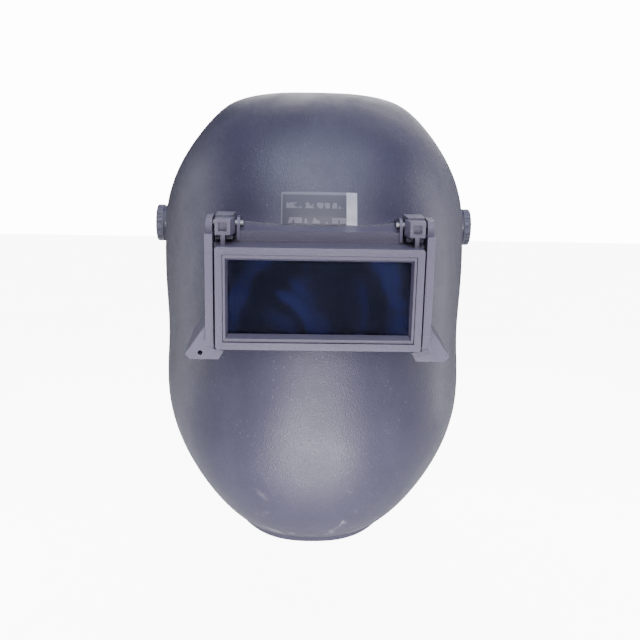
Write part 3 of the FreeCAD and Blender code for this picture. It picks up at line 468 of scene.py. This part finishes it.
def bake(piece):
    """Replace a piece's mesh by what its modifiers make of it."""
    depsgraph = bpy.context.evaluated_depsgraph_get()
    baked = bpy.data.meshes.new_from_object(piece.evaluated_get(depsgraph))
    piece.modifiers.clear()
    piece.data = baked


# The centre of the headband's front arc, at half the band's height.
BAND_CENTRE = Vector((0, -0.010, -0.015))
# The radius halfway through the CAD sweatband, and how far outside it the cushion's line runs.
PAD_RADIUS = 0.0753
PAD_SHIFT = 0.0003
# The cushion's two ends, in degrees round the arc's centre.
SWEAT_FROM, SWEAT_TO = 206.5, 333.5
BROW_STEPS = 60
SEAM_HEIGHT = 0.0085
SEAM_HALF_WIDTH = 0.0012
SEAM_DEPTH = 0.0006


def on_band(radius, degrees):
    """A point at a radius and an angle round the centre of the headband's front arc."""
    angle = math.radians(degrees)
    return BAND_CENTRE + Vector((radius * math.cos(angle), radius * math.sin(angle), 0))


def brow_cushion():
    """The padded sweatband inside the front of the headband, stitched along both edges."""
    line = []
    for k in range(BROW_STEPS + 1):
        degrees = SWEAT_FROM + (SWEAT_TO - SWEAT_FROM) * k / BROW_STEPS
        ease = end_taper(k, BROW_STEPS, least=0.45, rate=9)
        outward = on_band(1, degrees) - BAND_CENTRE
        point = on_band(PAD_RADIUS + PAD_SHIFT, degrees)
        line.append((point, outward * ease, Vector((0, 0, 1)) * ease))
    piece = swept_band("brow_cushion", line, cushion_profile(thick=0.0042, tall=0.0225, corner=0.0020))
    swell(piece)
    for vertex in piece.data.vertices:
        near = abs(abs(vertex.co.z - BAND_CENTRE.z) - SEAM_HEIGHT)
        inner = (vertex.co - Vector((BAND_CENTRE.x, BAND_CENTRE.y, vertex.co.z))).length < PAD_RADIUS
        if inner and near < SEAM_HALF_WIDTH:
            away = (vertex.co - BAND_CENTRE) * Vector((1, 1, 0))
            vertex.co += away.normalized() * SEAM_DEPTH * (1 - near / SEAM_HALF_WIDTH)
    piece.data.materials.append(MATERIALS["sweatband_fabric"])
    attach(piece, "headgear")
    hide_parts("sweatband")


NAPE_CENTRE = Vector((0, 0.1010, -0.015))
NAPE_HALF_WIDTH = 0.0325
NAPE_STEPS = 30
# Only points nearer the head than this y are pressed into the channels.
NAPE_PRESSED_Y = 0.1008
NAPE_CHANNELS = (-0.011, 0.011)
CHANNEL_HALF_WIDTH = 0.0018
CHANNEL_DEPTH = 0.0009


def nape_cushion():
    """The padded rest in front of the ratchet housing, with two channels pressed into it."""
    line = []
    for k in range(NAPE_STEPS + 1):
        x = -NAPE_HALF_WIDTH + 2 * NAPE_HALF_WIDTH * k / NAPE_STEPS
        ease = end_taper(k, NAPE_STEPS, least=0.5, rate=7)
        middle = Vector((x, NAPE_CENTRE.y, NAPE_CENTRE.z))
        line.append((middle, Vector((0, 1, 0)) * ease, Vector((0, 0, 1)) * ease))
    piece = swept_band("nape_cushion", line, cushion_profile(thick=0.0046, tall=0.0245, corner=0.0022))
    swell(piece)
    for vertex in piece.data.vertices:
        if vertex.co.y < NAPE_PRESSED_Y:
            for channel in NAPE_CHANNELS:
                near = abs(vertex.co.x - channel)
                if near < CHANNEL_HALF_WIDTH:
                    vertex.co.y += CHANNEL_DEPTH * (1 - near / CHANNEL_HALF_WIDTH)
    piece.data.materials.append(MATERIALS["sweatband_fabric"])
    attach(piece, "adjuster")
    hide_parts("nape_pad")


# The stretch in y across which a rear strap is cut, where the real strap shortens as the ratchet draws
# it in.
STRAP_BEND = (0.050, 0.105)
STRAP_CUTS = 11
STRAP_CUT_STEP = 0.005


def rear_band(side):
    """A rear strap, cut across at even steps between headband and ratchet."""
    node = frame["nodes"]["rear_strap_" + side]
    mesh = bmesh.new()
    mesh.from_mesh(node.data)
    mesh.transform(node.matrix_world)
    for cut in range(STRAP_CUTS):
        everything = mesh.verts[:] + mesh.edges[:] + mesh.faces[:]
        bmesh.ops.bisect_plane(mesh, geom=everything, plane_no=(0, 1, 0),
                               plane_co=(0, STRAP_BEND[0] + STRAP_CUT_STEP * cut, 0))
    data = bpy.data.meshes.new("rear_band_" + side)
    mesh.to_mesh(data)
    mesh.free()
    strap = bpy.data.objects.new("rear_band_" + side, data)
    bpy.context.collection.objects.link(strap)
    data.materials.clear()
    data.materials.append(MATERIALS["strap_plastic"])
    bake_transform(strap)
    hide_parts("rear_strap_" + side)


brow_cushion()
nape_cushion()
rear_band("right")
rear_band("left")

# ---------------------------------------------------------------- camera, light


def add_light(name, place, target, size, power, colour):
    """A soft rectangle, size wide and high, shining from place towards target."""
    data = bpy.data.lights.new(name, "AREA")
    data.energy = power
    data.color = colour
    data.shape = "RECTANGLE"
    data.size, data.size_y = size
    lamp = bpy.data.objects.new(name, data)
    lamp.location = place
    aim = Vector(target) - Vector(place)
    lamp.rotation_euler = aim.to_track_quat("-Z", "Y").to_euler()
    lamp.visible_camera = False
    bpy.context.collection.objects.link(lamp)


MIDDLE = (0, -0.05, -0.06)
# The chin light lies just above the floor and faces up, outside what the window mirrors.
CHIN_LIGHT = (0.0, -0.40, -0.30)
ABOVE_CHIN_LIGHT = (0.0, -0.34, 0.30)
# Each light's name, place, target, width and height in metres, power in watts, and colour.
LIGHTS = (
    ("left_rim", (-0.80, 0.30, 0.05), MIDDLE, (0.30, 1.0), 3.2, (0.94, 0.95, 1.0)),
    ("right_rim", (0.80, 0.26, 0.05), MIDDLE, (0.35, 1.0), 4.5, (0.94, 0.95, 1.0)),
    ("front_key", (0.06, -1.30, 0.45), MIDDLE, (0.30, 0.75), 17, (1.0, 0.98, 0.98)),
    ("chin_key", CHIN_LIGHT, ABOVE_CHIN_LIGHT, (0.09, 0.34), 2.3, (1.0, 0.97, 0.97)),
    ("top_soft", (0, -0.45, 1.0), MIDDLE, (0.8, 0.6), 12, (0.80, 0.88, 1.0)),
    ("rear_fill", (0.2, 1.1, 0.6), MIDDLE, (1.0, 0.8), 9, (1.0, 1.0, 1.0)),
)
for light in LIGHTS:
    add_light(*light)

# Emission strengths: what the eye sees, and what lights the helmet.
BACKDROP_SEEN, BACKDROP_FILL = 14.0, 0.13
FLOOR_SEEN, FLOOR_FILL = 10.0, 0.10


def studio_world():
    """A white backdrop for the eye, much dimmer as a source of light."""
    world = bpy.data.worlds.new("studio")
    world.use_nodes = True
    tree = world.node_tree
    seen = tree.nodes.new("ShaderNodeBackground")
    seen.inputs["Color"].default_value = (1.0, 1.0, 1.0, 1)
    seen.inputs["Strength"].default_value = BACKDROP_SEEN
    fill = tree.nodes["Background"]
    fill.inputs["Color"].default_value = (0.90, 0.93, 1.0, 1)
    fill.inputs["Strength"].default_value = BACKDROP_FILL
    path = tree.nodes.new("ShaderNodeLightPath")
    either = tree.nodes.new("ShaderNodeMixShader")
    tree.links.new(path.outputs["Is Camera Ray"], either.inputs["Fac"])
    tree.links.new(fill.outputs["Background"], either.inputs[1])
    tree.links.new(seen.outputs["Background"], either.inputs[2])
    tree.links.new(either.outputs["Shader"], tree.nodes["World Output"].inputs["Surface"])
    bpy.context.scene.world = world


studio_world()

# The helmet hangs free: the floor lies this far below its lowest point.
FLOOR_BELOW = 0.12
FLOOR_HALF = 6


def make_floor():
    """A pale floor, bright to the eye and dim as a source of light."""
    mesh = bmesh.new()
    bmesh.ops.create_grid(mesh, x_segments=2, y_segments=2, size=FLOOR_HALF)
    data = bpy.data.meshes.new("floor")
    mesh.to_mesh(data)
    mesh.free()
    floor = bpy.data.objects.new("floor", data)
    floor.location = (0, 0, cad_box[0].z - FLOOR_BELOW)
    bpy.context.collection.objects.link(floor)
    n = Nodes("floor_paint")
    paint = n.ramp(n.noise(3, 3), (0.3, 0.90), (0.7, 0.93))
    glow = n.lit_to_eye(FLOOR_SEEN, FLOOR_FILL)
    n.set(Base_Color=paint, Roughness=0.9, Emission_Color=paint, Emission_Strength=glow)
    floor.data.materials.append(n.material)


make_floor()

# The camera at the photograph's viewing angle. Lens and sensor are in millimetres.
CAMERA_TARGET = Vector((0.00553, 0, -0.06962))
CAMERA_DISTANCE = 0.691
CAMERA_HEIGHT = math.radians(8)
CAMERA_SIDE = math.radians(-1.65)
CAMERA_ROLL = math.radians(0.98)
CAMERA_LENS = 52.9
CAMERA_SENSOR = 36
CAMERA_NEAREST = 0.05


def make_camera():
    """A camera on a sphere round its target, rolled about its own line of sight."""
    data = bpy.data.cameras.new("camera")
    data.sensor_width = CAMERA_SENSOR
    data.lens = CAMERA_LENS
    data.clip_start = CAMERA_NEAREST
    camera = bpy.data.objects.new("camera", data)
    back = Vector((math.sin(CAMERA_SIDE) * math.cos(CAMERA_HEIGHT),
                   -math.cos(CAMERA_SIDE) * math.cos(CAMERA_HEIGHT), math.sin(CAMERA_HEIGHT)))
    look = (-back).to_track_quat("-Z", "Y").to_matrix()
    camera.rotation_mode = "QUATERNION"
    camera.rotation_quaternion = (look @ Matrix.Rotation(CAMERA_ROLL, 3, "Z")).to_quaternion()
    camera.location = CAMERA_TARGET + back * CAMERA_DISTANCE
    bpy.context.collection.objects.link(camera)
    bpy.context.scene.camera = camera


make_camera()
